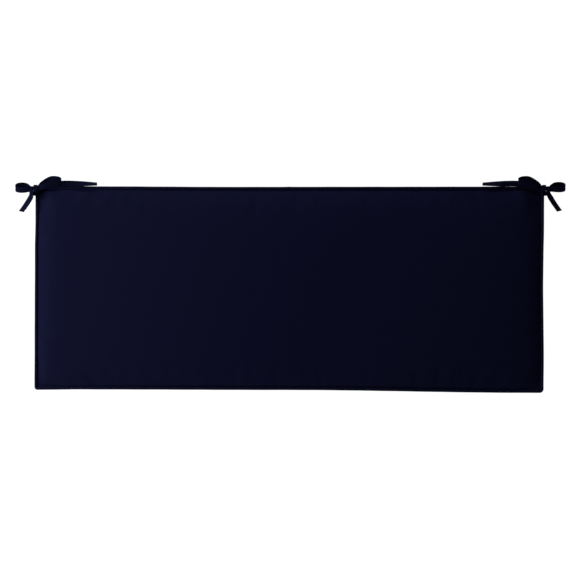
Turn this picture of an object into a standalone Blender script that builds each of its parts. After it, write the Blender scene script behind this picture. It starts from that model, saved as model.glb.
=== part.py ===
"""Welted box cushion for a bench, with a pair of tie straps knotted in a bow at each back corner.

Metres, +Z up. The cushion lies on its underside at z = 0, with its length along X and its back
edge, where the ties are sewn, towards +Y.
"""

import math

import bmesh
import bpy
from mathutils import Vector

# The cover, measured over the welts
LENGTH = 1.1456
DEPTH = 0.4641
HALF_LENGTH = LENGTH / 2
HALF_DEPTH = DEPTH / 2

# Plan radius of each corner, over the welt: (side, end) -> radius
CORNER_RADIUS = {
    ("left", "front"): 0.0068,
    ("right", "front"): 0.0090,
    ("left", "back"): 0.0080,
    ("right", "back"): 0.0080,
}

# How far each edge stands out of the plain rectangle: place along the edge, then out of it
EDGE_OUT = {
    "back": ((-0.573, 0.0), (-0.42, 0.0), (-0.13, -0.0012), (0.20, -0.0008), (0.573, -0.0003)),
    "front": ((-0.573, -0.0068), (-0.48, -0.0077), (0.0, -0.0064), (0.54, 0.0), (0.573, 0.0)),
    "left": ((-0.232, 0.0), (-0.15, -0.0003), (0.09, -0.0010), (0.16, -0.0023), (0.232, -0.0021)),
    "right": ((-0.232, -0.0014), (-0.16, -0.0008), (0.01, -0.0022), (0.17, -0.0002), (0.232, 0.0)),
}

# The welts, one in each seam
WELT_RADIUS = 0.00325
WELT_LOW = 0.0065
WELT_HIGH = 0.0720
WELT_SEAT = WELT_RADIUS + 0.00035
CORNER_STEPS = 5
PAST_CORNER = 0.012

# The panels and the boxing between the seams
CREASE_INSET = WELT_RADIUS + WELT_SEAT
CREASE_RISE = 0.0015
LIP_INSET = 0.00225
BOXING_BULGE = 0.0020
BOXING_ROWS = 6
ROLL_HEIGHT, ROLL_REACH = 0.0052, 0.0090
CROWN_HEIGHT, CROWN_REACH_X, CROWN_REACH_Y = 0.0052, 0.110, 0.075
DIMPLE_DEPTH = 0.0028
DIMPLE_FROM_SIDE, DIMPLE_FROM_BACK = 0.016, 0.045
DIMPLE_REACH_X, DIMPLE_REACH_Y = 0.014, 0.028
UNDERSIDE_ROLL = 0.028

# Grid lines of the cover: close together at the seams and wide apart over the flat
EDGE_LINES = (0.0012, 0.0030, 0.0060, 0.0110, 0.0180, UNDERSIDE_ROLL, 0.0420)
WIDE_SPACING = 0.046

# The tie straps
STRAP_THICKNESS = 0.0015
STEPS_BETWEEN_POINTS = 3
KNOT_LEFT = (-0.5693, 0.2260)
KNOT_RIGHT = (0.5714, 0.2258)
RIGHT_BOW_SHIFT = (-2.8, 1.4)
SHIFT_FROM, SHIFT_OVER = 10.0, 14.0

# Each strap's route from the seam to its free end. The columns, in millimetres, are x and y from
# the knot and z above the bench, then the way that the strap's width points, then its width.
LOOP_OUT_STRAP = (
    (-0.8, -10.4, 68.2, (0.0, 1.0, 0.0), 9.0),
    (-2.3, -10.4, 69.9, (0.0, 1.0, 0.0), 9.4),
    (-3.0, -10.4, 72.4, (0.0, 1.0, 0.0), 9.4),
    (-4.2, -10.2, 73.8, (0.1, 1.0, 0.0), 10.0),
    (-7.8, -8.2, 74.3, (0.5, 0.8, 0.05), 9.4),
    (-11.4, -4.0, 74.6, (0.6, 0.8, 0.2), 8.8),
    (-15.2, 3.0, 73.6, (0.35, 0.85, 0.3), 10.6),
    (-21.0, 7.2, 72.0, (0.15, 0.92, 0.36), 12.4),
    (-29.0, 8.8, 71.2, (0.0, 0.93, 0.36), 12.7),
    (-38.0, 8.2, 71.4, (0.0, 0.93, 0.36), 12.7),
    (-43.8, 5.8, 73.4, (0.0, 0.93, 0.36), 12.7),
    (-45.4, 2.6, 76.8, (0.0, 0.93, 0.36), 12.7),
    (-43.4, -0.8, 80.2, (0.0, 0.93, 0.36), 12.7),
    (-37.0, -2.6, 82.2, (0.0, 0.93, 0.36), 12.7),
    (-28.5, -2.8, 82.8, (0.0, 0.95, 0.3), 12.7),
    (-19.5, -1.6, 81.6, (0.0, 0.97, 0.2), 12.5),
    (-12.5, 0.2, 79.8, (0.0, 0.99, 0.08), 12.0),
    (-7.6, 1.0, 78.6, (0.0, 1.0, 0.03), 10.8),
    (-3.6, 1.2, 78.25, (0.0, 1.0, 0.0), 9.2),
    (3.0, 1.2, 78.25, (0.0, 1.0, 0.0), 9.2),
    (8.4, 2.2, 78.4, (-0.1, 1.0, 0.0), 9.6),
    (16.0, 4.6, 78.3, (-0.2, 1.0, -0.1), 10.4),
    (25.0, 6.8, 77.2, (-0.2, 0.97, -0.2), 11.4),
    (36.0, 8.9, 75.8, (-0.1, 0.97, -0.24), 12.4),
    (50.0, 11.6, 75.4, (-0.05, 0.98, -0.12), 13.0),
    (66.0, 12.4, 75.5, (0.0, 1.0, -0.05), 13.2),
    (84.0, 12.2, 75.5, (0.0, 1.0, -0.08), 13.0),
    (102.0, 11.8, 75.2, (0.0, 0.92, -0.38), 12.8),
    (116.0, 11.6, 74.4, (0.0, 0.8, -0.6), 12.7),
    (129.0, 11.4, 73.4, (0.0, 0.64, -0.77), 12.7),
    (137.5, 11.3, 72.6, (0.0, 0.55, -0.83), 12.7),
)
LOOP_IN_STRAP = (
    (1.4, 3.2, 68.2, (0.7, 0.7, 0.0), 6.5),
    (0.3, 4.3, 70.0, (0.7, 0.7, 0.0), 6.5),
    (-0.6, 5.6, 72.4, (0.8, 0.6, 0.0), 6.4),
    (-2.2, 7.6, 75.2, (0.97, 0.2, 0.0), 6.4),
    (-1.8, 8.6, 77.8, (1.0, 0.0, 0.0), 7.0),
    (-0.7, 8.4, 80.9, (1.0, 0.0, 0.0), 9.4),
    (-0.2, 5.8, 82.6, (1.0, 0.0, 0.0), 9.2),
    (0.2, 1.2, 83.0, (1.0, 0.0, 0.0), 9.2),
    (0.5, -3.4, 82.6, (1.0, 0.0, 0.0), 9.2),
    (0.8, -5.8, 80.9, (1.0, 0.0, 0.0), 9.2),
    (0.7, -6.0, 78.4, (1.0, 0.0, 0.0), 9.0),
    (1.0, -5.0, 76.8, (1.0, 0.1, 0.0), 8.4),
    (2.2, -3.0, 76.3, (0.9, -0.4, 0.0), 8.2),
    (5.2, 1.4, 76.25, (0.8, -0.5, 0.0), 8.4),
    (8.8, 6.4, 76.2, (0.8, -0.6, 0.0), 9.0),
    (13.2, 11.2, 76.0, (0.65, -0.7, -0.1), 10.0),
    (19.2, 15.4, 75.9, (0.4, -0.8, -0.3), 11.2),
    (26.8, 19.9, 76.0, (0.3, -0.87, -0.4), 12.2),
    (36.0, 23.2, 77.4, (0.2, -0.89, -0.4), 12.7),
    (47.0, 23.0, 79.6, (0.1, -0.89, -0.42), 12.7),
    (54.8, 20.6, 81.2, (0.1, -0.89, -0.42), 12.7),
    (57.2, 17.6, 83.2, (0.1, -0.89, -0.42), 12.7),
    (54.0, 15.2, 85.2, (0.1, -0.89, -0.42), 12.7),
    (45.0, 13.2, 86.0, (0.1, -0.89, -0.42), 12.7),
    (33.0, 11.4, 86.0, (0.2, -0.89, -0.4), 12.4),
    (22.5, 7.4, 84.8, (0.2, -0.9, -0.35), 11.4),
    (14.0, 3.8, 82.8, (0.1, -0.95, -0.2), 10.4),
    (8.6, 1.8, 81.0, (0.0, -1.0, -0.05), 9.6),
    (4.2, 1.2, 80.2, (0.0, -1.0, 0.0), 9.2),
    (-2.8, 1.2, 80.2, (0.0, -1.0, 0.0), 9.2),
    (-6.8, 0.3, 81.2, (0.2, -1.0, 0.1), 8.4),
    (-10.0, -4.4, 83.5, (0.62, -0.55, 0.3), 7.8),
    (-9.4, -11.4, 83.4, (0.85, -0.35, 0.35), 10.6),
    (-11.4, -19.0, 80.0, (0.8, -0.5, 0.3), 12.2),
    (-16.8, -27.5, 75.0, (0.74, -0.55, 0.38), 12.7),
    (-22.4, -35.4, 69.4, (0.7, -0.55, 0.42), 12.7),
    (-28.4, -43.2, 63.8, (0.68, -0.54, 0.48), 12.7),
    (-34.2, -50.4, 59.0, (0.66, -0.53, 0.52), 12.7),
)

MM = 0.001


def clear_scene():
    for old in list(bpy.data.objects):
        bpy.data.objects.remove(old, do_unlink=True)


def material(name, colour, roughness):
    made = bpy.data.materials.new(name)
    made.use_nodes = True
    shader = made.node_tree.nodes["Principled BSDF"]
    shader.inputs["Base Color"].default_value = (*colour, 1.0)
    shader.inputs["Roughness"].default_value = roughness
    shader.inputs["Metallic"].default_value = 0.0
    return made


def between(table, place):
    """Reads a table of (place, value) rows, easing from each row to the next."""
    if place <= table[0][0]:
        return table[0][1]
    for (start, low), (stop, high) in zip(table, table[1:]):
        if place <= stop:
            part = (place - start) / (stop - start)
            return low + (high - low) * part * part * (3 - 2 * part)
    return table[-1][1]


def uneven(x, y):
    """Moves a point of the plain rectangle so that the edges run as unevenly as the sewn ones."""
    across = (x + HALF_LENGTH) / LENGTH
    along = (y + HALF_DEPTH) / DEPTH
    shift_x = across * between(EDGE_OUT["right"], y) - (1 - across) * between(EDGE_OUT["left"], y)
    shift_y = along * between(EDGE_OUT["back"], x) - (1 - along) * between(EDGE_OUT["front"], x)
    return x + shift_x, y + shift_y


def corner_radius(x, y):
    return CORNER_RADIUS["left" if x < 0 else "right", "front" if y < 0 else "back"]


def plan_place(x, y, inset):
    """A point of the rectangle, drawn in from the outline by inset, with its corner made round."""
    radius = max(corner_radius(x, y) - inset, 0.0005)
    flat_x = HALF_LENGTH - inset - radius
    flat_y = HALF_DEPTH - inset - radius
    x *= 1 - inset / HALF_LENGTH
    y *= 1 - inset / HALF_DEPTH
    over_x = min(max(abs(x) - flat_x, 0.0), radius)
    over_y = min(max(abs(y) - flat_y, 0.0), radius)
    if over_x > 0 and over_y > 0:
        round_x = over_x * math.sqrt(1 - over_y**2 / (2 * radius**2))
        round_y = over_y * math.sqrt(1 - over_x**2 / (2 * radius**2))
        x = math.copysign(flat_x + round_x, x)
        y = math.copysign(flat_y + round_y, y)
    return uneven(x, y)


def section_rows():
    """(inset, height) down the side of the cover, from the lower crease to the upper one."""
    lip_low = WELT_LOW + WELT_SEAT
    lip_high = WELT_HIGH - WELT_SEAT
    rows = [
        (CREASE_INSET, WELT_LOW - CREASE_RISE),
        (CREASE_INSET, lip_low),
    ]
    for step in range(BOXING_ROWS + 1):
        part = step / BOXING_ROWS
        bulge = BOXING_BULGE * (1 - (2 * part - 1) ** 2)
        rows.append((LIP_INSET - bulge, lip_low + (lip_high - lip_low) * part))
    rows += [
        (CREASE_INSET, lip_high),
        (CREASE_INSET, WELT_HIGH + CREASE_RISE),
    ]
    return rows


def crease_distances(x, y):
    """How far a point of the rectangle lies inside the crease, along X and along Y."""
    inside_x = (HALF_LENGTH - abs(x)) * (1 - CREASE_INSET / HALF_LENGTH)
    inside_y = (HALF_DEPTH - abs(y)) * (1 - CREASE_INSET / HALF_DEPTH)
    return max(inside_x, 0.0), max(inside_y, 0.0)


def rise(distance, reach):
    return 1 - math.exp(-distance / reach)


def top_height(x, y):
    """The top panel rolls up from the crease, crowns, and dips where a tie pulls its corner."""
    inside_x, inside_y = crease_distances(x, y)
    roll = ROLL_HEIGHT * rise(inside_x, ROLL_REACH) * rise(inside_y, ROLL_REACH)
    crown = CROWN_HEIGHT * rise(inside_x, CROWN_REACH_X) * rise(inside_y, CROWN_REACH_Y)
    off_x = (inside_x - DIMPLE_FROM_SIDE) / DIMPLE_REACH_X
    off_y = (HALF_DEPTH - y - DIMPLE_FROM_BACK) / DIMPLE_REACH_Y
    dimple = DIMPLE_DEPTH * math.exp(-(off_x**2) - off_y**2)
    return WELT_HIGH + CREASE_RISE + roll + crown - dimple


def underside_height(x, y):
    """The bottom panel rolls down from its crease and lies flat on the bench."""
    flat = 1.0
    for inside in crease_distances(x, y):
        flat *= 1 - max(1 - inside / UNDERSIDE_ROLL, 0.0) ** 2
    return (WELT_LOW - CREASE_RISE) * (1 - flat)


def cut_lines(half, stretch):
    """Places of the grid lines across a side of the cover, symmetric about its middle."""
    near = [half - line * stretch for line in EDGE_LINES]
    wide = max(round(2 * near[-1] / WIDE_SPACING), 1)
    middle = [near[-1] * (2 * step / wide - 1) for step in range(1, wide)]
    return sorted([-place for place in near] + middle + near)


def cover_lines():
    """Grid lines along X and Y, so that EDGE_LINES are distances inside the crease."""
    stretch_x = HALF_LENGTH / (HALF_LENGTH - CREASE_INSET)
    stretch_y = HALF_DEPTH / (HALF_DEPTH - CREASE_INSET)
    return cut_lines(HALF_LENGTH, stretch_x), cut_lines(HALF_DEPTH, stretch_y)


def finish(name, mesh, collection, paint):
    made = bpy.data.objects.new(name, mesh)
    made.data.materials.append(paint)
    collection.objects.link(made)
    return made


def cushion(collection, paint):
    """A box, cut along the grid lines and shaped: panels, creases, lips and bulging boxing."""
    rows = section_rows()
    last_row = len(rows) - 1
    mesh = bmesh.new()
    bmesh.ops.create_cube(mesh, size=1.0)
    for corner in mesh.verts:
        corner.co = (corner.co.x * LENGTH, corner.co.y * DEPTH, (corner.co.z + 0.5) * last_row)
    lines_x, lines_y = cover_lines()
    cuts = [((place, 0, 0), (1, 0, 0)) for place in lines_x]
    cuts += [((0, place, 0), (0, 1, 0)) for place in lines_y]
    cuts += [((0, 0, row), (0, 0, 1)) for row in range(1, last_row)]
    for place, normal in cuts:
        whole = mesh.verts[:] + mesh.edges[:] + mesh.faces[:]
        bmesh.ops.bisect_plane(mesh, geom=whole, dist=1e-7, plane_co=place, plane_no=normal)
    for point in mesh.verts:
        x, y, row = point.co.x, point.co.y, round(point.co.z)
        inset, height = rows[row]
        if row == last_row:
            height = top_height(x, y)
        elif row == 0:
            height = underside_height(x, y)
        point.co = (*plan_place(x, y, inset), height)
    data = bpy.data.meshes.new("cushion")
    mesh.to_mesh(data)
    mesh.free()
    data.shade_smooth()
    data.set_sharp_from_angle(angle=math.radians(35))
    return finish("cushion", data, collection, paint)


def welt_route(height):
    """The cord's centre line round a seam: the body's grid lines on the sides, arcs at corners."""
    lines_x, lines_y = cover_lines()
    half_x, half_y = HALF_LENGTH - WELT_RADIUS, HALF_DEPTH - WELT_RADIUS
    corners = (("right", "back", 1, 1, 0), ("left", "back", -1, 1, 90))
    corners += (("left", "front", -1, -1, 180), ("right", "front", 1, -1, 270))
    places = []
    for side, end, sign_x, sign_y, start in corners:
        radius = CORNER_RADIUS[side, end] - WELT_RADIUS
        for step in range(CORNER_STEPS + 1):
            angle = math.radians(start + 90 * step / CORNER_STEPS)
            centre_x, centre_y = sign_x * (half_x - radius), sign_y * (half_y - radius)
            places.append((centre_x + radius * math.cos(angle), centre_y + radius * math.sin(angle)))
        if start in (0, 180):
            straight = [(place, sign_y * half_y) for place in lines_x if abs(place) < half_x - PAST_CORNER]
            places += straight if sign_y < 0 else straight[::-1]
        else:
            straight = [(sign_x * half_x, place) for place in lines_y if abs(place) < half_y - PAST_CORNER]
            places += straight if sign_x > 0 else straight[::-1]
    return [(*uneven(x, y), height) for x, y in places]


def welt(name, height, collection, paint):
    """The welt is a covered cord that runs once round a seam, a closed round tube."""
    data = bpy.data.curves.new(name, "CURVE")
    data.dimensions = "3D"
    data.bevel_depth = WELT_RADIUS
    data.bevel_resolution = 2
    route = welt_route(height)
    spline = data.splines.new("POLY")
    spline.points.add(len(route) - 1)
    for point, place in zip(spline.points, route):
        point.co = (*place, 1.0)
    spline.use_cyclic_u = True
    return finish(name, data, collection, paint)


def smooth_route(rows, steps):
    """A Catmull-Rom curve through the rows: a list of (place, width direction, width)."""
    ends = [rows[0]] + list(rows) + [rows[-1]]
    read = []
    for before, start, stop, after in zip(ends, ends[1:], ends[2:], ends[3:]):
        for step in range(steps):
            t = step / steps
            weights = (
                (-t + 2 * t**2 - t**3) / 2,
                (2 - 5 * t**2 + 3 * t**3) / 2,
                (t + 4 * t**2 - 3 * t**3) / 2,
                (t**3 - t**2) / 2,
            )
            place, turn, width = Vector(), Vector(), 0.0
            for weight, row in zip(weights, (before, start, stop, after)):
                place += weight * Vector(row[:3])
                turn += weight * Vector(row[3])
                width += weight * row[4]
            read.append((place, turn, width))
    last = rows[-1]
    read.append((Vector(last[:3]), Vector(last[3]), last[4]))
    return read


def shifted(rows, shift):
    """The right bow's outer side lies a little further out: past the knot its rows move by shift."""
    moved = []
    for x, y, z, turn, width in rows:
        part = min(max((math.hypot(x, y) - SHIFT_FROM) / SHIFT_OVER, 0.0), 1.0)
        part *= part * (3 - 2 * part) * (x < 0)
        moved.append((x + shift[0] * part, y + shift[1] * part, z, turn, width))
    return moved


def strap(name, rows, knot, mirrored, collection, paint):
    """A ribbon laid along its route, two points to a row, and given its thickness."""
    read = smooth_route(rows, STEPS_BETWEEN_POINTS)
    side = -1 if mirrored else 1
    mesh = bmesh.new()
    bmesh.ops.create_grid(mesh, x_segments=1, y_segments=len(read) - 1, size=1.0)
    points = sorted(mesh.verts, key=lambda point: (round(point.co.y, 6), point.co.x))
    for index, (place, turn, width) in enumerate(read):
        before = read[max(index - 1, 0)][0]
        after = read[min(index + 1, len(read) - 1)][0]
        forward = (after - before).normalized()
        across = (turn - turn.dot(forward) * forward).normalized()
        for point, sign in zip(points[2 * index : 2 * index + 2], (-1, 1)):
            edge = (place + sign * width / 2 * across) * MM
            point.co = (knot[0] + side * edge.x, knot[1] + edge.y, edge.z)
    bmesh.ops.recalc_face_normals(mesh, faces=mesh.faces)
    data = bpy.data.meshes.new(name)
    mesh.to_mesh(data)
    mesh.free()
    made = finish(name, data, collection, paint)
    thick = made.modifiers.new("thickness", "SOLIDIFY")
    thick.thickness = STRAP_THICKNESS
    thick.offset = 0.0
    thick.use_even_offset = False
    return made


def build():
    clear_scene()
    collection = bpy.data.collections.new("bench_cushion")
    bpy.context.scene.collection.children.link(collection)
    canvas = material("navy_canvas", (0.0040, 0.0045, 0.0200), 0.85)
    welt_canvas = material("navy_welt", (0.0045, 0.0050, 0.0220), 0.80)
    tie_canvas = material("navy_tie", (0.0035, 0.0040, 0.0150), 0.85)
    cushion(collection, canvas)
    welt("welt_top", WELT_HIGH, collection, welt_canvas)
    welt("welt_bottom", WELT_LOW, collection, welt_canvas)
    for loop, rows in (("outer", LOOP_OUT_STRAP), ("inner", LOOP_IN_STRAP)):
        strap(f"tie_left_{loop}", rows, KNOT_LEFT, False, collection, tie_canvas)
        rows = shifted(rows, RIGHT_BOW_SHIFT)
        strap(f"tie_right_{loop}", rows, KNOT_RIGHT, True, collection, tie_canvas)


build()
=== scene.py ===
"""Looks of a welted bench cushion with a tied bow at each back corner, seen from above."""

import math

import bpy
import numpy as np
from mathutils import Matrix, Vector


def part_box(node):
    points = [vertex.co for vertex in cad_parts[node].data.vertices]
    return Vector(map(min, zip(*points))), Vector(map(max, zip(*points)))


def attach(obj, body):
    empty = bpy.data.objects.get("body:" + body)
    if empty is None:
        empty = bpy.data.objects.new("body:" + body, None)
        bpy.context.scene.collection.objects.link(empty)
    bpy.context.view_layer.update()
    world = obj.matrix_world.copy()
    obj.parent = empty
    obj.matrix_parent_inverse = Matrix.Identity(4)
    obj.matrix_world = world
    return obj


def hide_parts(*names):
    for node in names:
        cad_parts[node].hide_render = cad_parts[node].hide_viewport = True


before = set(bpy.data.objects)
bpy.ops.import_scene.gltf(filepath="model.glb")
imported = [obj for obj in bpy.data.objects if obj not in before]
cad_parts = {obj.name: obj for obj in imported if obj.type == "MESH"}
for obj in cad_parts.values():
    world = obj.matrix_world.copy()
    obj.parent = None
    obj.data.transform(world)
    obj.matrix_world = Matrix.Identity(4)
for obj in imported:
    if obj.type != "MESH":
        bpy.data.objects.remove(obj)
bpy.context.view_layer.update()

# The view
# The cushion is seen from straight above through a long lens, as in a catalogue picture.
# A pixel of the picture is nearly 2.25 mm at the height of the upper welt.
MM = 0.001
PICTURE_PIXELS = 576
PIXEL_SIZE = 2.247 * MM
CUSHION_MIDDLE_PIXEL = (289.33, 289.62)
CAMERA_ABOVE = 8.0
SENSOR_WIDTH = 36.0

welt_low, welt_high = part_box("welt_top")
welt_middle_height = (welt_low[2] + welt_high[2]) / 2
lens = bpy.data.cameras.new("camera")
lens.sensor_width = SENSOR_WIDTH
lens.lens = SENSOR_WIDTH * CAMERA_ABOVE / (PICTURE_PIXELS * PIXEL_SIZE)
camera = bpy.data.objects.new("camera", lens)
camera.location = (
    (PICTURE_PIXELS / 2 - CUSHION_MIDDLE_PIXEL[0]) * PIXEL_SIZE,
    (CUSHION_MIDDLE_PIXEL[1] - PICTURE_PIXELS / 2) * PIXEL_SIZE,
    welt_middle_height + CAMERA_ABOVE,
)
bpy.context.scene.collection.objects.link(camera)
bpy.context.scene.camera = camera

# The cover
# Two panels and a boxing strip of plain-woven acrylic canvas, sewn together with a welt in
# each seam and drawn tight over a foam and fibre filling. The panels crown, the boxing bulges.
HALF_LENGTH = (welt_high[0] - welt_low[0]) / 2
HALF_DEPTH = (welt_high[1] - welt_low[1]) / 2
WELT_RADIUS = (welt_high[2] - welt_low[2]) / 2
WELT_PRESSED_IN = 0.1 * MM
WELT_SEAT = WELT_RADIUS - WELT_PRESSED_IN
CREASE_INSET = WELT_RADIUS + WELT_SEAT
CREASE_RISE = 0.6 * MM
CLOTH_BEHIND_WELT = 4 * MM
SHARPEST_CORNER = 0.5 * MM
LIP_INSET = 2.25 * MM
BOXING_BULGE = 2.0 * MM
BOXING_ROWS = 10
ROLL_HEIGHT, ROLL_REACH = 5.6 * MM, 13.0 * MM
CROWN_HEIGHT, CROWN_REACH_X, CROWN_REACH_Y = 6.4 * MM, 150 * MM, 70 * MM
UNDERSIDE_ROLL = 28 * MM
PUCKER_SPACINGS = (43 * MM, 71 * MM)
PUCKER_HEIGHT, PUCKER_START, PUCKER_REACH = 0.35 * MM, 3 * MM, 12 * MM
DIMPLE_DEPTH, DIMPLE_FROM_SIDE, DIMPLE_FROM_BACK = 2.8 * MM, 16 * MM, 45 * MM
DIMPLE_REACH_X, DIMPLE_REACH_Y = 14 * MM, 28 * MM
EDGE_LINES = np.array([0.8, 1.8, 3.2, 5.0, 7.5, 11, 15, 20, 28, 36, 44]) * MM
PANEL_SPACING = 9 * MM
FILLING_PRESSURE = 2.0
FILLING_FRAMES = 20
CLOTH_STRETCH = 0.004
CLOTH_BENDING = 2.0
MOST_SWELL = 2.4 * MM

# Plan radius of each corner over the welt: left front, right front, left back, right back
CORNER_RADIUS = np.array([6.8, 9.0, 8.0, 8.0]) * MM

# How far each edge stands out of the plain rectangle: place along the edge, then out, in mm
EDGE_OUT = {
    "back": ((-573, 0.0), (-420, 0.0), (-130, -1.2), (200, -0.8), (573, -0.3)),
    "front": ((-573, -6.8), (-480, -7.7), (0, -6.4), (540, 0.0), (573, 0.0)),
    "left": ((-232, 0.0), (-150, -0.3), (90, -1.0), (160, -2.3), (232, -2.1)),
    "right": ((-232, -1.4), (-160, -0.8), (10, -2.2), (170, -0.2), (232, 0.0)),
}


def eased(table, place):
    """Reads (place, value) rows in millimetres at many places, easing from each row to the next."""
    places, values = np.array(table).T * MM
    row = np.clip(np.searchsorted(places, place) - 1, 0, len(places) - 2)
    part = np.clip((place - places[row]) / (places[row + 1] - places[row]), 0, 1)
    return values[row] + (values[row + 1] - values[row]) * part**2 * (3 - 2 * part)


def uneven(x, y):
    """Shifts points of the plain rectangle by the edges' unevenness, shared out between edges."""
    across = (x / HALF_LENGTH + 1) / 2
    along = (y / HALF_DEPTH + 1) / 2
    shift_x = across * eased(EDGE_OUT["right"], y) - (1 - across) * eased(EDGE_OUT["left"], y)
    shift_y = along * eased(EDGE_OUT["back"], x) - (1 - along) * eased(EDGE_OUT["front"], x)
    return x + shift_x, y + shift_y


def plan_place(x, y, inset):
    """Draws points of the rectangle in by inset and maps each square corner onto a quarter disc."""
    radius = CORNER_RADIUS[(x > 0) * 1 + (y > 0) * 2] - inset
    radius = np.maximum(radius, SHARPEST_CORNER)
    flat_x, flat_y = HALF_LENGTH - inset - radius, HALF_DEPTH - inset - radius
    x = x * (1 - inset / HALF_LENGTH)
    y = y * (1 - inset / HALF_DEPTH)
    over_x = np.clip(np.abs(x) - flat_x, 0, radius)
    over_y = np.clip(np.abs(y) - flat_y, 0, radius)
    round_x = over_x * np.sqrt(1 - over_y**2 / (2 * radius**2))
    round_y = over_y * np.sqrt(1 - over_x**2 / (2 * radius**2))
    in_corner = (over_x > 0) & (over_y > 0)
    x = np.where(in_corner, np.sign(x) * (flat_x + round_x), x)
    y = np.where(in_corner, np.sign(y) * (flat_y + round_y), y)
    return uneven(x, y)


def rise(distance, reach):
    """From 0 at no distance towards 1: one less e to the power of minus distance over reach."""
    return 1 - np.exp(-distance / reach)


def crease_distances(x, y):
    """How far points of the rectangle lie inside the crease, along X and along Y."""
    inside_x = (HALF_LENGTH - np.abs(x)) * (1 - CREASE_INSET / HALF_LENGTH)
    inside_y = (HALF_DEPTH - np.abs(y)) * (1 - CREASE_INSET / HALF_DEPTH)
    return np.maximum(inside_x, 0), np.maximum(inside_y, 0)


def top_height(x, y):
    """Upper panel: a quick exponential roll from the crease, a slow crown, less the tie dimples.

    Two sine waves along each seam make its puckers, which fade away from the seam.
    """
    inside_x, inside_y = crease_distances(x, y)
    roll = ROLL_HEIGHT * rise(inside_x, ROLL_REACH) * rise(inside_y, ROLL_REACH)
    crown = CROWN_HEIGHT * rise(inside_x, CROWN_REACH_X) * rise(inside_y, CROWN_REACH_Y)
    off_x = (inside_x - DIMPLE_FROM_SIDE) / DIMPLE_REACH_X
    off_y = (HALF_DEPTH - y - DIMPLE_FROM_BACK) / DIMPLE_REACH_Y
    dimple = DIMPLE_DEPTH * np.exp(-(off_x**2) - off_y**2)
    puckers = 0
    for spacing in PUCKER_SPACINGS:
        puckers += np.exp(-inside_y / PUCKER_REACH) * np.sin(2 * math.pi * x / spacing)
        puckers += np.exp(-inside_x / PUCKER_REACH) * np.sin(2 * math.pi * y / spacing)
    puckers *= PUCKER_HEIGHT / 2 * rise(np.minimum(inside_x, inside_y), PUCKER_START)
    return welt_middle_height + CREASE_RISE + roll + crown - dimple + puckers


def underside_height(x, y):
    """Lower panel: a parabola down from its crease that ends on the flat it lies on."""
    inside_x, inside_y = crease_distances(x, y)
    flat_x = 1 - np.maximum(1 - inside_x / UNDERSIDE_ROLL, 0) ** 2
    flat_y = 1 - np.maximum(1 - inside_y / UNDERSIDE_ROLL, 0) ** 2
    return (welt_bottom_height - CREASE_RISE) * (1 - flat_x * flat_y)


def cut_lines(half):
    """Grid lines across a panel: EDGE_LINES in from both seams and an even spacing between."""
    near = half - EDGE_LINES * half / (half - CREASE_INSET)
    count = round(2 * near[-1] / PANEL_SPACING)
    middle = np.linspace(-near[-1], near[-1], count + 1)
    return np.concatenate([[-half], -near[:-1], middle, near[:-1][::-1], [half]])


def grid_quads(index):
    """The quads of a grid of point numbers, each one turned the same way."""
    quads = [index[:-1, :-1], index[:-1, 1:], index[1:, 1:], index[1:, :-1]]
    return np.stack(quads, axis=-1).reshape(-1, 4)


def outer_loop(grid):
    """The values round the rim of a grid, anticlockwise from its first corner."""
    return np.concatenate([grid[0, :-1], grid[:-1, -1], grid[-1, :0:-1], grid[:0:-1, 0]])


def mesh_object(name, points, faces, uv=None):
    """A mesh object of its own in the scene, smooth, with one UV pair for each face corner."""
    data = bpy.data.meshes.new(name)
    data.from_pydata(points.tolist(), [], faces.tolist() if hasattr(faces, "tolist") else faces)
    if uv is not None:
        layer = data.uv_layers.new(name="cloth")
        layer.data.foreach_set("uv", np.ascontiguousarray(uv, dtype=np.float32).ravel())
    data.shade_smooth()
    made = bpy.data.objects.new(name, data)
    bpy.context.scene.collection.objects.link(made)
    return made


lower_low, lower_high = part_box("welt_bottom")
welt_bottom_height = (lower_low[2] + lower_high[2]) / 2
panel_y, panel_x = np.meshgrid(cut_lines(HALF_DEPTH), cut_lines(HALF_LENGTH), indexing="ij")
rim_x, rim_y = outer_loop(panel_x), outer_loop(panel_y)
point_numbers = np.arange(panel_x.size).reshape(panel_x.shape)

# The rows of the boxing, from the lower seam to the upper one: inset and height
lip_low, lip_high = welt_bottom_height + WELT_SEAT, welt_middle_height - WELT_SEAT
boxing_part = np.linspace(0, 1, BOXING_ROWS + 1)
boxing_inset = LIP_INSET - BOXING_BULGE * (1 - (2 * boxing_part - 1) ** 2)
boxing_height = lip_low + (lip_high - lip_low) * boxing_part
side_inset = np.concatenate([[CREASE_INSET], boxing_inset, [CREASE_INSET]])
side_height = np.concatenate([[lip_low], boxing_height, [lip_high]])

top_plan = plan_place(panel_x, panel_y, CREASE_INSET)
top_points = np.stack([*top_plan, top_height(panel_x, panel_y)], axis=-1)
under_points = np.stack([*top_plan, underside_height(panel_x, panel_y)], axis=-1)
side_plan = plan_place(rim_x[None], rim_y[None], side_inset[:, None])
side_points = np.stack([*side_plan, side_height[:, None] + 0 * rim_x[None]], axis=-1)
cover_parts = (under_points, side_points, top_points)
cover_points = np.concatenate([part.reshape(-1, 3) for part in cover_parts])

under_numbers = point_numbers
side_numbers = np.arange(rim_x.size * len(side_inset)).reshape(len(side_inset), -1)
side_numbers += point_numbers.size
top_numbers = point_numbers + side_numbers.max() + 1
walls = np.vstack([outer_loop(under_numbers), side_numbers, outer_loop(top_numbers)])
walls = np.hstack([walls, walls[:, :1]])
cover_quads = np.vstack([
    grid_quads(under_numbers)[:, ::-1],
    grid_quads(walls),
    grid_quads(top_numbers),
])

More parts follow.
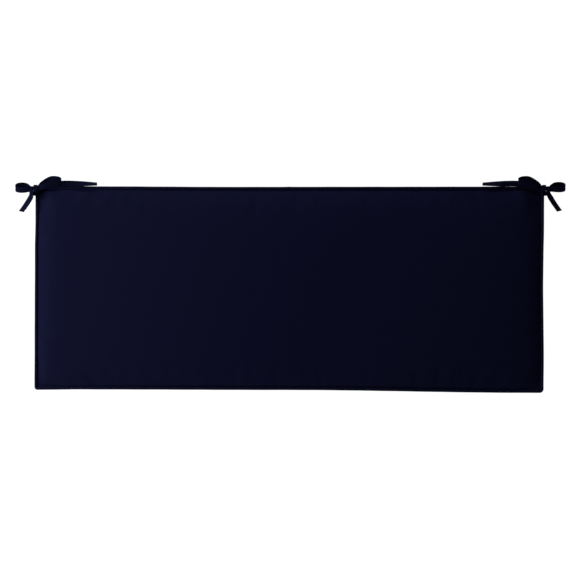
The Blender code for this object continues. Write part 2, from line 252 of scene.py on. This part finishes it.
# The cloth's own coordinates, in metres: each panel lies flat, and the boxing is rolled out
rim_step = np.hypot(np.diff(np.append(rim_x, rim_x[0])), np.diff(np.append(rim_y, rim_y[0])))
rim_length = np.concatenate([[0], np.cumsum(rim_step)])
wall_height = np.concatenate([
    [lip_low - CLOTH_BEHIND_WELT],
    side_height,
    [lip_high + CLOTH_BEHIND_WELT],
])
panel_cloth = np.stack([panel_x, panel_y], axis=-1).reshape(-1, 2)
wall_cloth = np.stack(np.meshgrid(rim_length, wall_height), axis=-1).reshape(-1, 2)
wall_cells = np.arange(len(wall_cloth)).reshape(walls.shape)
cover_uv = np.concatenate([
    panel_cloth[grid_quads(point_numbers)[:, ::-1]],
    wall_cloth[grid_quads(wall_cells)],
    panel_cloth[grid_quads(point_numbers)],
])
cover = mesh_object("cover", cover_points, cover_quads, cover_uv)


def fill_cover(cover):
    """Blows the cover up with a short cloth simulation, held at its seams, and keeps the swelling.

    The move of each point is capped smoothly: move * cap / (cap + move).
    """
    rest = np.array([point.co[:] for point in cover.data.vertices])
    seams = cover.vertex_groups.new(name="seams")
    seams.add(walls.ravel().tolist() + under_numbers.ravel().tolist(), 1.0, "REPLACE")
    cloth = cover.modifiers.new("filling", "CLOTH")
    cloth.settings.vertex_group_mass = "seams"
    cloth.settings.use_pressure = True
    cloth.settings.uniform_pressure_force = FILLING_PRESSURE
    cloth.settings.effector_weights.gravity = 0
    cloth.settings.shrink_min = -CLOTH_STRETCH
    cloth.settings.bending_stiffness = CLOTH_BENDING
    cloth.collision_settings.use_collision = False
    scene = bpy.context.scene
    for number in range(1, FILLING_FRAMES + 1):
        scene.frame_set(number)
    filled = cover.evaluated_get(bpy.context.evaluated_depsgraph_get()).to_mesh()
    swollen = np.array([point.co[:] for point in filled.vertices])
    cover.evaluated_get(bpy.context.evaluated_depsgraph_get()).to_mesh_clear()
    cover.modifiers.remove(cloth)
    scene.frame_set(1)
    move = swollen - rest
    size = np.linalg.norm(move, axis=1, keepdims=True)
    kept = rest + move * MOST_SWELL / (MOST_SWELL + size)
    cover.data.vertices.foreach_set("co", kept.astype(np.float32).ravel())
    cover.data.update()


fill_cover(cover)


def hex_colour(code):
    """Turns an sRGB hex value into the linear colour that the shaders take."""
    parts = [int(code[place : place + 2], 16) / 255 for place in (1, 3, 5)]
    linear = [
        part / 12.92 if part <= 0.04045 else ((part + 0.055) / 1.055) ** 2.4
        for part in parts
    ]
    return (*linear, 1.0)


def add(tree, kind, inputs=None, **settings):
    """Adds a node, sets it, and gives each input its value or a link from another node's output."""
    made = tree.nodes.new(kind)
    for name, value in settings.items():
        setattr(made, name, value)
    for socket, value in (inputs or {}).items():
        if isinstance(value, bpy.types.NodeSocket):
            tree.links.new(value, made.inputs[socket])
        else:
            made.inputs[socket].default_value = value
    return made


# The canvas is matt, with almost no shine, and a thin haze of fibre ends catches the light that
# grazes it. A thread is 0.5 mm wide in the real cloth and is drawn twice as wide, so that the
# weave still shows from close by.
NAVY = "#07081C"
NAVY_HAZE = "#5058C8"
PANEL_HAZE = 0.02
HAZE_ROUGHNESS = 0.45
CANVAS_ROUGHNESS = 0.85
CANVAS_SHINE = 0.02
PANEL_THREAD = 1.1 * MM
THREAD_ROUNDNESS = 0.7
THREAD_HEIGHT = 0.16
WEAVE_STRENGTH = 0.35
# Painted shade in the weave: the colour is lighter on the thread tops and darker in the hollows
# between threads
WEAVE_PAINTED_SHADE = 0.3
SLUB_DARKEST, SLUB_CONTRAST = 0.35, 0.5

# Slubs to the metre across and along the threads: each is about 1.1 mm wide and 17 mm long
SLUBS_ACROSS, SLUBS_ALONG = 900, 60


def canvas(name, thread, colour, haze=0.0, turn=0.0):
    """Solution-dyed acrylic canvas in plain weave, drawn on the cloth's own coordinates.

    Each thread's height is the size of a sine across it, to a power that rounds it. Warp and
    weft take turns to lie on top, and slubs make some threads lighter.
    """
    made = bpy.data.materials.new(name)
    made.use_nodes = True
    tree = made.node_tree
    shader = tree.nodes["Principled BSDF"]
    shader.inputs["Roughness"].default_value = CANVAS_ROUGHNESS
    shader.inputs["Specular IOR Level"].default_value = CANVAS_SHINE
    shader.inputs["Sheen Weight"].default_value = haze
    shader.inputs["Sheen Roughness"].default_value = HAZE_ROUGHNESS
    shader.inputs["Sheen Tint"].default_value = hex_colour(NAVY_HAZE)
    place = add(tree, "ShaderNodeUVMap", uv_map="cloth")
    scaled = add(
        tree,
        "ShaderNodeMapping",
        {
            "Vector": place.outputs[0],
            "Scale": (1 / thread, 1 / thread, 1),
            "Rotation": (0, 0, turn),
        },
    )
    split = add(tree, "ShaderNodeSeparateXYZ", {0: scaled.outputs[0]})
    over = add(tree, "ShaderNodeTexChecker", {"Vector": scaled.outputs[0], "Scale": 1.0})
    profiles = []
    for axis in ("X", "Y"):
        angle = add(
            tree,
            "ShaderNodeMath",
            {0: split.outputs[axis], 1: math.pi},
            operation="MULTIPLY",
        )
        wave = add(tree, "ShaderNodeMath", {0: angle.outputs[0]}, operation="SINE")
        size = add(tree, "ShaderNodeMath", {0: wave.outputs[0]}, operation="ABSOLUTE")
        profiles.append(
            add(
                tree,
                "ShaderNodeMath",
                {0: size.outputs[0], 1: THREAD_ROUNDNESS},
                operation="POWER",
            )
        )
    crossing = add(
        tree,
        "ShaderNodeMath",
        {0: profiles[0].outputs[0], 1: profiles[1].outputs[0]},
        operation="MULTIPLY",
    )
    warp, weft = [
        add(
            tree,
            "ShaderNodeMath",
            {0: profile.outputs[0], 1: crossing.outputs[0]},
            operation="ADD",
        )
        for profile in profiles
    ]
    height = add(
        tree,
        "ShaderNodeMix",
        {"Factor": over.outputs["Fac"], "A": warp.outputs[0], "B": weft.outputs[0]},
        data_type="FLOAT",
    )
    bump = add(
        tree,
        "ShaderNodeBump",
        {
            "Height": height.outputs[0],
            "Strength": WEAVE_STRENGTH,
            "Distance": THREAD_HEIGHT * thread,
        },
    )
    tree.links.new(bump.outputs[0], shader.inputs["Normal"])
    slub = add(
        tree,
        "ShaderNodeMapping",
        {
            "Vector": place.outputs[0],
            "Scale": (SLUBS_ACROSS, SLUBS_ALONG, 1),
            "Rotation": (0, 0, turn),
        },
    )
    slubs = add(
        tree,
        "ShaderNodeTexNoise",
        {"Vector": slub.outputs[0], "Scale": 1.0, "Detail": 2.0},
    )
    shade = add(
        tree,
        "ShaderNodeMath",
        {0: slubs.outputs[0], 1: SLUB_CONTRAST, 2: SLUB_DARKEST},
        operation="MULTIPLY_ADD",
    )
    # Base colour scaled by the weave's height, as painted shade in the hollows between threads,
    # plus the slubs' own tone
    lift = add(
        tree,
        "ShaderNodeMath",
        {0: height.outputs[0], 1: WEAVE_PAINTED_SHADE, 2: shade.outputs[0]},
        operation="MULTIPLY_ADD",
    )
    tone = add(
        tree,
        "ShaderNodeMix",
        {"Factor": 1.0, "A": hex_colour(colour), "B": lift.outputs[0]},
        data_type="RGBA",
        blend_type="MULTIPLY",
    )
    tree.links.new(tone.outputs[2], shader.inputs["Base Color"])
    return made


cover.data.materials.append(canvas("navy_acrylic_canvas", PANEL_THREAD, NAVY, PANEL_HAZE))
smooth = cover.modifiers.new("smooth", "SUBSURF")
smooth.levels = smooth.render_levels = 1
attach(cover, "root")
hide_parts("cushion")

# The welts
# A cotton cord about 5 mm thick, wrapped in a bias-cut strip of the cover's canvas and caught
# in each seam. It runs once round the cushion, and its ends meet at the middle of the back.
# Painted shade: the welts are cut from the panels' own canvas, and this darker navy stands for the
# shade on them
WELT_NAVY_PAINTED_SHADE = "#060719"
BIAS_TURN = math.pi / 4
WELT_STEP = 3.5 * MM
WELT_SIDES = 16
JOIN_THICKER, JOIN_REACH = 0.06, 7 * MM
UNEVEN_COVER, UNEVEN_SPACING = 0.02, 90 * MM
CORNER_STEP_ANGLE = math.radians(11.25)

# Corner number, its side along X and along Y, and the angle at which its arc starts
CORNERS = ((3, 1, 1, 0), (2, -1, 1, 90), (0, -1, -1, 180), (1, 1, -1, 270))


def welt_line(height):
    """Centre line of a welt: straight runs and quarter circles, in even steps, then made uneven."""
    half_x, half_y = HALF_LENGTH - WELT_RADIUS, HALF_DEPTH - WELT_RADIUS
    runs = []
    for corner, sign_x, sign_y, start in CORNERS:
        radius = CORNER_RADIUS[corner] - WELT_RADIUS
        angle = np.radians(start) + np.arange(0, math.pi / 2, CORNER_STEP_ANGLE)
        arc_x = sign_x * (half_x - radius) + radius * np.cos(angle)
        arc_y = sign_y * (half_y - radius) + radius * np.sin(angle)
        runs.append(np.stack([arc_x, arc_y], axis=-1))
    corners = runs + runs[:1]
    line = []
    for run, following in zip(corners, corners[1:]):
        step = np.linalg.norm(following[0] - run[-1])
        part = np.linspace(0, 1, max(round(step / WELT_STEP), 2), endpoint=False)[1:, None]
        line += [run, run[-1] + part * (following[0] - run[-1])]
    x, y = uneven(*np.concatenate(line).T)
    return np.stack([x, y, np.full(len(x), height)], axis=-1)


def welt(name, height):
    """A round tube carried along the line of a seam: radius times cosine outwards and sine up.

    A slow sine makes the wrapped cord uneven, and a narrow bell thickens it where its ends meet.
    """
    line = welt_line(height)
    forward = np.roll(line, -1, axis=0) - np.roll(line, 1, axis=0)
    forward /= np.linalg.norm(forward, axis=1, keepdims=True)
    outward = np.stack([forward[:, 1], -forward[:, 0], 0 * forward[:, 0]], axis=-1)
    up = np.array([0.0, 0.0, 1.0])
    angle = np.linspace(0, 2 * math.pi, WELT_SIDES, endpoint=False)
    ring = outward[:, None] * np.cos(angle)[None, :, None] + up * np.sin(angle)[None, :, None]
    count = len(line)
    numbers = np.arange(count * WELT_SIDES).reshape(count, WELT_SIDES)
    numbers = np.vstack([numbers, numbers[:1]])
    numbers = np.hstack([numbers, numbers[:, :1]])
    step = np.linalg.norm(np.roll(line, -1, axis=0) - line, axis=1)
    along = np.concatenate([[0], np.cumsum(step)])
    join = JOIN_THICKER * np.exp(-((line[:, 0] / JOIN_REACH) ** 2)) * (line[:, 1] > 0)
    thickness = 1 + join + UNEVEN_COVER * np.sin(2 * math.pi * along[:-1] / UNEVEN_SPACING)
    points = line[:, None] + WELT_RADIUS * thickness[:, None, None] * ring
    around = np.linspace(0, 2 * math.pi * WELT_RADIUS, WELT_SIDES + 1)
    cloth = np.stack(np.meshgrid(along, around, indexing="ij"), axis=-1).reshape(-1, 2)
    cells = np.arange(len(cloth)).reshape(numbers.shape)
    made = mesh_object(name, points.reshape(-1, 3), grid_quads(numbers), cloth[grid_quads(cells)])
    made.data.materials.append(bias_canvas)
    return made


# Cut on the bias, so its threads run slantwise round the cord. Its colour is drawn darker than the
# panels' navy as painted shade on the welts.
bias_canvas = canvas("navy_bias_canvas", PANEL_THREAD, WELT_NAVY_PAINTED_SHADE, turn=BIAS_TURN)
for name, node, height in (
    ("upper_welt", "welt_top", welt_middle_height),
    ("lower_welt", "welt_bottom", welt_bottom_height),
):
    cord_cover = welt(name, height)
    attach(cord_cover, "root")
    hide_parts(node)

# The ties
# Two straps of folded and edge-stitched canvas, caught in the upper seam at each back corner and
# knotted in a bow. One makes the outer loop and the long tail, and the other makes the wrap of
# the knot, the inner loop and the short tail.
TIE_NAVY = "#030414"
TIE_THREAD = 0.9 * MM

# The straps' sizes and places, in millimetres
TIE_WIDTH = 12.7
TIE_THICKNESS = 1.5
TIE_STEP = 0.8
STEPS_BETWEEN_ROWS = 12
END_THINS_OVER, END_THINNEST = 0.8, 0.12
SQUARE_CUT, SLANTED_CUT, SLANT_REACH = 0.0, 0.7, 6.0
LEFT_KNOT = (-569.3, 226.0)
RIGHT_KNOT = (571.4, 225.8)

# The right bow's outer side lies a little further out than the left one's, in millimetres
RIGHT_BOW_SHIFT = (-2.8, 1.4)
SHIFT_FROM, SHIFT_OVER = 10.0, 14.0

# Routes from the seam to the free end, in millimetres: x and y from the knot, z above the
# floor, then the way that the strap's width points, and the width
OUTER_LOOP_ROUTE = (
    (-0.8, -10.4, 68.2, 0.0, 1.0, 0.0, 9.0),
    (-2.3, -10.4, 69.9, 0.0, 1.0, 0.0, 9.4),
    (-3.0, -10.4, 72.4, 0.0, 1.0, 0.0, 9.4),
    (-4.2, -10.2, 73.8, 0.1, 1.0, 0.0, 10.0),
    (-7.8, -8.2, 74.3, 0.5, 0.8, 0.05, 9.4),
    (-11.4, -4.0, 74.6, 0.6, 0.8, 0.2, 8.8),
    (-15.2, 3.0, 73.6, 0.35, 0.85, 0.3, 10.6),
    (-21.0, 7.2, 72.0, 0.15, 0.92, 0.36, 12.4),
    (-29.0, 8.8, 71.2, 0.0, 0.93, 0.36, 12.7),
    (-38.0, 8.2, 71.4, 0.0, 0.93, 0.36, 12.7),
    (-43.8, 5.8, 73.4, 0.0, 0.93, 0.36, 12.7),
    (-45.4, 2.6, 76.8, 0.0, 0.93, 0.36, 12.7),
    (-43.4, -0.8, 80.2, 0.0, 0.93, 0.36, 12.7),
    (-37.0, -2.6, 82.2, 0.0, 0.93, 0.36, 12.7),
    (-28.5, -2.8, 82.8, 0.0, 0.95, 0.3, 12.7),
    (-19.5, -1.6, 81.6, 0.0, 0.97, 0.2, 12.5),
    (-12.5, 0.2, 79.8, 0.0, 0.99, 0.08, 12.0),
    (-7.6, 1.0, 78.6, 0.0, 1.0, 0.03, 10.8),
    (-3.6, 1.2, 78.25, 0.0, 1.0, 0.0, 9.2),
    (3.0, 1.2, 78.25, 0.0, 1.0, 0.0, 9.2),
    (8.4, 2.2, 78.4, -0.1, 1.0, 0.0, 9.6),
    (16.0, 4.6, 78.3, -0.2, 1.0, -0.1, 10.4),
    (25.0, 6.8, 77.2, -0.2, 0.97, -0.2, 11.4),
    (36.0, 8.9, 75.8, -0.1, 0.97, -0.24, 12.4),
    (50.0, 11.6, 75.4, -0.05, 0.98, -0.12, 13.0),
    (66.0, 12.4, 75.5, 0.0, 1.0, -0.05, 13.2),
    (84.0, 12.2, 75.5, 0.0, 1.0, -0.08, 13.0),
    (102.0, 11.8, 75.2, 0.0, 0.92, -0.38, 12.8),
    (116.0, 11.6, 74.4, 0.0, 0.8, -0.6, 12.7),
    (129.0, 11.4, 73.4, 0.0, 0.64, -0.77, 12.7),
    (137.5, 11.3, 72.6, 0.0, 0.55, -0.83, 12.7),
)
INNER_LOOP_ROUTE = (
    (1.4, 3.2, 68.2, 0.7, 0.7, 0.0, 6.5),
    (0.3, 4.3, 70.0, 0.7, 0.7, 0.0, 6.5),
    (-0.6, 5.6, 72.4, 0.8, 0.6, 0.0, 6.4),
    (-2.2, 7.6, 75.2, 0.97, 0.2, 0.0, 6.4),
    (-1.8, 8.6, 77.8, 1.0, 0.0, 0.0, 7.0),
    (-0.7, 8.4, 80.9, 1.0, 0.0, 0.0, 9.4),
    (-0.2, 5.8, 82.6, 1.0, 0.0, 0.0, 9.2),
    (0.2, 1.2, 83.0, 1.0, 0.0, 0.0, 9.2),
    (0.5, -3.4, 82.6, 1.0, 0.0, 0.0, 9.2),
    (0.8, -5.8, 80.9, 1.0, 0.0, 0.0, 9.2),
    (0.7, -6.0, 78.4, 1.0, 0.0, 0.0, 9.0),
    (1.0, -5.0, 76.8, 1.0, 0.1, 0.0, 8.4),
    (2.2, -3.0, 76.3, 0.9, -0.4, 0.0, 8.2),
    (5.2, 1.4, 76.25, 0.8, -0.5, 0.0, 8.4),
    (8.8, 6.4, 76.2, 0.8, -0.6, 0.0, 9.0),
    (13.2, 11.2, 76.0, 0.65, -0.7, -0.1, 10.0),
    (19.2, 15.4, 75.9, 0.4, -0.8, -0.3, 11.2),
    (26.8, 19.9, 76.0, 0.3, -0.87, -0.4, 12.2),
    (36.0, 23.2, 77.4, 0.2, -0.89, -0.4, 12.7),
    (47.0, 23.0, 79.6, 0.1, -0.89, -0.42, 12.7),
    (54.8, 20.6, 81.2, 0.1, -0.89, -0.42, 12.7),
    (57.2, 17.6, 83.2, 0.1, -0.89, -0.42, 12.7),
    (54.0, 15.2, 85.2, 0.1, -0.89, -0.42, 12.7),
    (45.0, 13.2, 86.0, 0.1, -0.89, -0.42, 12.7),
    (33.0, 11.4, 86.0, 0.2, -0.89, -0.4, 12.4),
    (22.5, 7.4, 84.8, 0.2, -0.9, -0.35, 11.4),
    (14.0, 3.8, 82.8, 0.1, -0.95, -0.2, 10.4),
    (8.6, 1.8, 81.0, 0.0, -1.0, -0.05, 9.6),
    (4.2, 1.2, 80.2, 0.0, -1.0, 0.0, 9.2),
    (-2.8, 1.2, 80.2, 0.0, -1.0, 0.0, 9.2),
    (-6.8, 0.3, 81.2, 0.2, -1.0, 0.1, 9.8),
    (-10.0, -4.4, 83.5, 0.62, -0.55, 0.3, 9.6),
    (-9.4, -11.4, 83.4, 0.85, -0.35, 0.35, 10.6),
    (-11.4, -19.0, 80.0, 0.8, -0.5, 0.3, 12.2),
    (-16.8, -27.5, 75.0, 0.74, -0.55, 0.38, 12.7),
    (-22.4, -35.4, 69.4, 0.7, -0.55, 0.42, 12.7),
    (-28.4, -43.2, 63.8, 0.68, -0.54, 0.48, 12.7),
    (-34.2, -50.4, 59.0, 0.66, -0.53, 0.52, 12.7),
)


def smooth_rows(rows, step):
    """A smooth cubic curve through the rows, read again at an even step along its length.

    Its slope at each row is half the way from the row before to the row after.
    """
    rows = np.array(rows)
    ends = np.vstack([rows[:1], rows, rows[-1:]])
    t = np.linspace(0, 1, STEPS_BETWEEN_ROWS, endpoint=False)[:, None, None]
    weights = (
        -t + 2 * t**2 - t**3,
        2 - 5 * t**2 + 3 * t**3,
        t + 4 * t**2 - 3 * t**3,
        t**3 - t**2,
    )
    stretches = len(rows) - 1
    read = sum(weight * ends[first : first + stretches] / 2 for first, weight in enumerate(weights))
    read = np.vstack([read.transpose(1, 0, 2).reshape(-1, rows.shape[1]), rows[-1:]])
    length = np.concatenate([[0], np.cumsum(np.linalg.norm(np.diff(read[:, :3], axis=0), axis=1))])
    places = np.linspace(0, length[-1], round(length[-1] / step) + 1)
    even = np.stack([np.interp(places, length, column) for column in read.T], axis=-1)
    return even, places


def unit(vectors):
    """Each vector divided by its length."""
    return vectors / np.linalg.norm(vectors, axis=-1, keepdims=True)


# Half of a strap's section, as shares of half its width and half its thickness: flat across the
# middle, rounded at the folded edges, and pressed in along each line of stitches
SECTION_STEPS = 9
EDGE_POWER, EDGE_LEFT = 6, 0.18
STITCH_LINE, STITCH_DEPTH, STITCH_REACH = 0.72, 0.16, 0.10
across_half = np.sin(np.linspace(-math.pi / 2, math.pi / 2, SECTION_STEPS * 2 - 1))
rounded = np.sqrt(np.maximum(1 - np.abs(across_half) ** EDGE_POWER, 0))
pressed = STITCH_DEPTH * np.exp(-(((np.abs(across_half) - STITCH_LINE) / STITCH_REACH) ** 2))
hem = (rounded * (1 - EDGE_LEFT) + EDGE_LEFT) * (1 - pressed)


def tie_strap(name, route, knot, side, cut):
    """A flat strap: the section above carried along its route, across by its width, up by its hem.

    Each end thins out over its last bit. A slanted cut sets one edge of the free end back by a
    share of half the width and the other edge forward, fading exponentially from the end.
    """
    rows, places = smooth_rows(route, TIE_STEP)
    line, turn, width = rows[:, :3], rows[:, 3:6], rows[:, 6]
    forward = unit(np.gradient(line, axis=0))
    across = unit(turn - np.sum(turn * forward, axis=1, keepdims=True) * forward)
    normal = np.cross(forward, across)
    flat = np.concatenate([across_half, across_half[::-1]])
    lift = np.concatenate([hem, -hem[::-1]])
    end = np.minimum(places, places[-1] - places)
    thin = np.sqrt(np.clip(end / END_THINS_OVER, END_THINNEST, 1))
    slant = cut * np.exp(-(places[-1] - places) / SLANT_REACH)
    offset = across[:, None] * (width[:, None] / 2 * flat)[..., None]
    offset = offset - forward[:, None] * (slant[:, None] * width[:, None] / 2 * flat)[..., None]
    offset = offset + normal[:, None] * (thin[:, None] * TIE_THICKNESS / 2 * lift)[..., None]
    points = line[:, None] + offset
    count, sides = points.shape[:2]
    points = points.reshape(-1, 3)
    points[:, 0] *= side
    points = (points + (*knot, 0)) * MM
    numbers = np.arange(count * sides).reshape(count, sides)
    ringed = np.hstack([numbers, numbers[:, :1]])
    faces = grid_quads(ringed)[:, :: side].tolist()
    caps = [numbers[0].tolist()[::-side], numbers[-1].tolist()[::side]]
    around = np.concatenate([[0], np.cumsum(np.abs(np.diff(np.append(flat, flat[0]))))])
    around *= TIE_WIDTH / 2
    cloth = np.stack(np.meshgrid(places, around, indexing="ij"), axis=-1).reshape(-1, 2) * MM
    cells = np.arange(len(cloth)).reshape(ringed.shape)
    uv = cloth[grid_quads(cells)[:, :: side]].reshape(-1, 2)
    uv = np.vstack([uv, np.zeros((2 * sides, 2))])
    made = mesh_object(name, points, faces + caps, uv)
    made.data.materials.append(tie_canvas)
    centre = (line * (side, 1, 1) + (*knot, 0)) * MM
    return made, centre, places[-1] * MM


def shifted(route, shift):
    """Moves the outer side's rows of a route by shift, eased in past the knot."""
    rows = np.array(route)
    part = np.clip((np.hypot(rows[:, 0], rows[:, 1]) - SHIFT_FROM) / SHIFT_OVER, 0, 1)
    part = part**2 * (3 - 2 * part) * (rows[:, 0] < 0)
    rows[:, :2] += part[:, None] * np.array(shift)
    return rows


# Folded double and pressed flat, so the straps look darker than the panels and show no haze
tie_canvas = canvas("navy_folded_canvas", TIE_THREAD, TIE_NAVY)
for bow, knot, side, shift in (
    ("left", LEFT_KNOT, 1, (0, 0)),
    ("right", RIGHT_KNOT, -1, RIGHT_BOW_SHIFT),
):
    for loop, route, cut in (
        ("outer", OUTER_LOOP_ROUTE, SQUARE_CUT),
        ("inner", INNER_LOOP_ROUTE, SLANTED_CUT),
    ):
        name = f"{bow}_{loop}_strap"
        strap, centre, length = tie_strap(name, shifted(route, shift), knot, side, cut)
        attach(strap, "root")
        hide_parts(f"tie_{bow}_{loop}")

# The studio
# The cushion lies on a white light table, as for a catalogue picture, so it throws no shadow.
# A long low softbox on the left makes that end lighter, and weaker ones light the back, the
# front and the right.
FLOOR_SIZE = 60.0
ROOM_LIGHT = 0.13
floor = mesh_object(
    "floor",
    np.array([(-1, -1, 0), (1, -1, 0), (1, 1, 0), (-1, 1, 0)]) * FLOOR_SIZE / 2,
    [(0, 1, 2, 3)],
)

# Opal glass lit from below: it shines evenly white, and shows neither edge nor shadow
table = bpy.data.materials.new("white_light_table")
table.use_nodes = True
table_shader = table.node_tree.nodes["Principled BSDF"]
table_shader.inputs["Base Color"].default_value = hex_colour("#303030")
table_shader.inputs["Roughness"].default_value = 0.9
table_shader.inputs["Emission Color"].default_value = hex_colour("#FFFFFF")
table_shader.inputs["Emission Strength"].default_value = 1.0
floor.data.materials.append(table)

sky = bpy.data.worlds.new("studio")
bpy.context.scene.world = sky
sky.use_nodes = True
sky.node_tree.nodes["Background"].inputs["Color"].default_value = hex_colour("#FFFFFF")
sky.node_tree.nodes["Background"].inputs["Strength"].default_value = ROOM_LIGHT


def softbox(name, place, size, power):
    """A rectangular studio light of so many watts at a place, turned to face the cushion."""
    lamp = bpy.data.lights.new(name, "AREA")
    lamp.shape = "RECTANGLE"
    lamp.size, lamp.size_y = size
    lamp.energy = power
    made = bpy.data.objects.new(name, lamp)
    made.location = place
    tilt = math.atan2(math.hypot(place[0], place[1]), place[2] - welt_middle_height)
    made.rotation_euler = (tilt, 0, math.atan2(place[0], -place[1]))
    bpy.context.scene.collection.objects.link(made)


softbox("left_softbox", (-1.7, 0.0, 0.6), (1.2, 0.3), 55)
softbox("back_softbox", (-0.4, 1.5, 0.45), (1.6, 0.4), 44)
softbox("front_softbox", (-0.5, -1.5, 0.35), (1.6, 0.3), 26)
softbox("right_softbox", (1.7, 0.1, 0.35), (0.8, 0.3), 5)
bpy.context.scene.view_settings.view_transform = "Standard"
